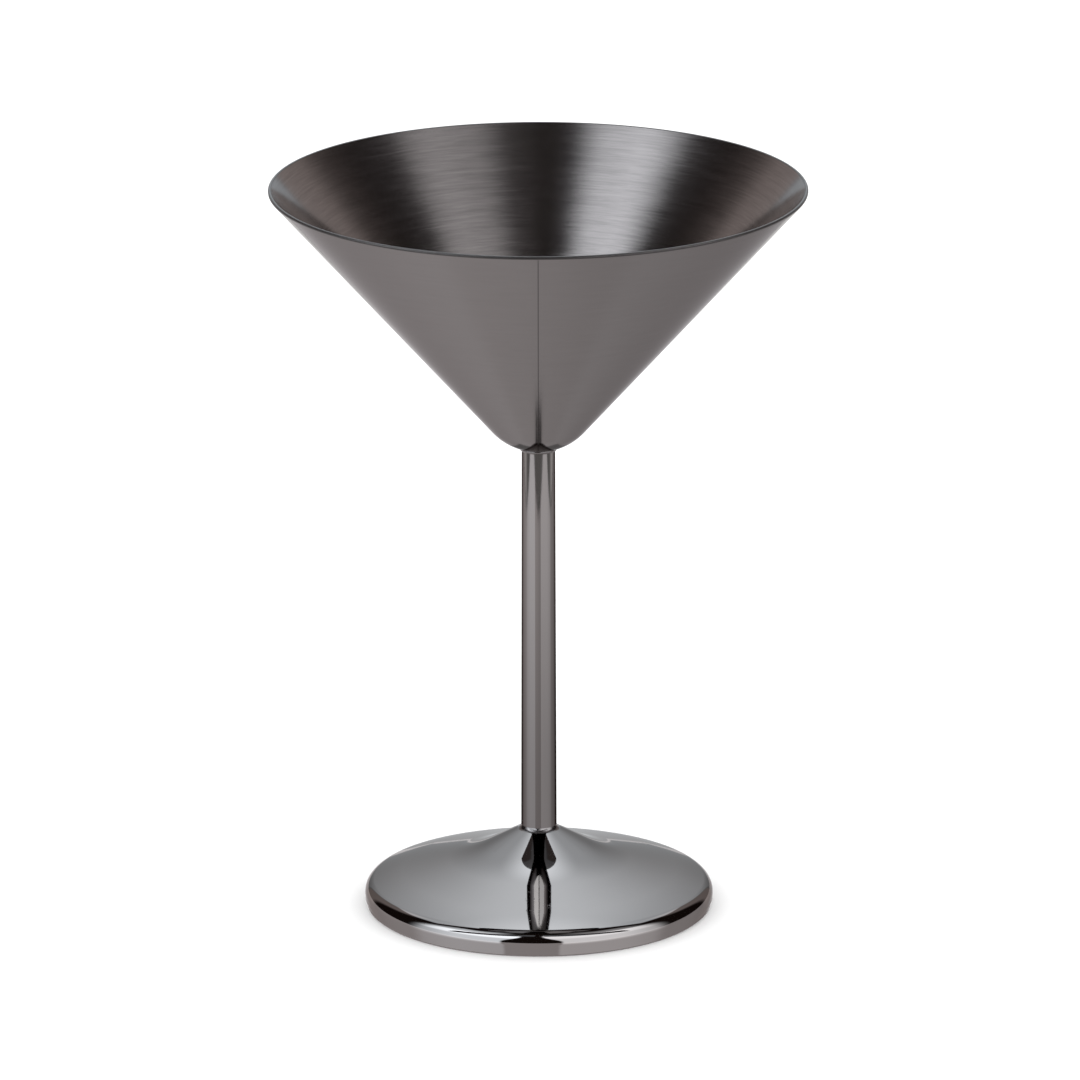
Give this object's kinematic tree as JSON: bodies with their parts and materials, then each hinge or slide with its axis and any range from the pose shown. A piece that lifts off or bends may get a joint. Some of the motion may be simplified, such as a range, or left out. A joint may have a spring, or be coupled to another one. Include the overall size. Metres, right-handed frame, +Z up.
{
  "type": "martini glass",
  "caption": "Stemmed steel martini glass with a wide cone bowl, satin inside and polished outside, on a slim tapered stem and a domed foot.",
  "frame": {"origin": "centre of the underside of the foot, on the surface the glass stands on", "axes": "+Z up along the stem's axis; the glass is round, so X and Y are free"},
  "size_m": [0.12, 0.12, 0.167],
  "materials": {
    "bowl_shell": "dark grey coated stainless steel, satin and brushed round the inside, mirror polished outside",
    "bowl_spigot": "bare turned steel, hidden",
    "bowl_braze": "braze bead dressed smooth, under the dark coat",
    "stem_tube": "dark grey coated stainless steel, mirror polished",
    "foot_spigot": "bare turned steel, hidden",
    "stem_braze": "braze fillet dressed smooth, under the dark coat",
    "foot_shell": "dark grey coated stainless steel, mirror polished",
    "base_disc": "dark grey coated stainless steel, polished rim, fine turning marks below",
    "base_braze": "silver braze, hidden"
  },
  "bodies": {
    "root": {"bowl_shell": "bowl_shell", "bowl_spigot": "bowl_spigot", "bowl_braze": "bowl_braze", "stem_tube": "stem_tube", "foot_spigot": "foot_spigot", "stem_braze": "stem_braze", "foot_shell": "foot_shell", "base_disc": "base_disc", "base_braze": "base_braze"}
  },
  "joints": []
}
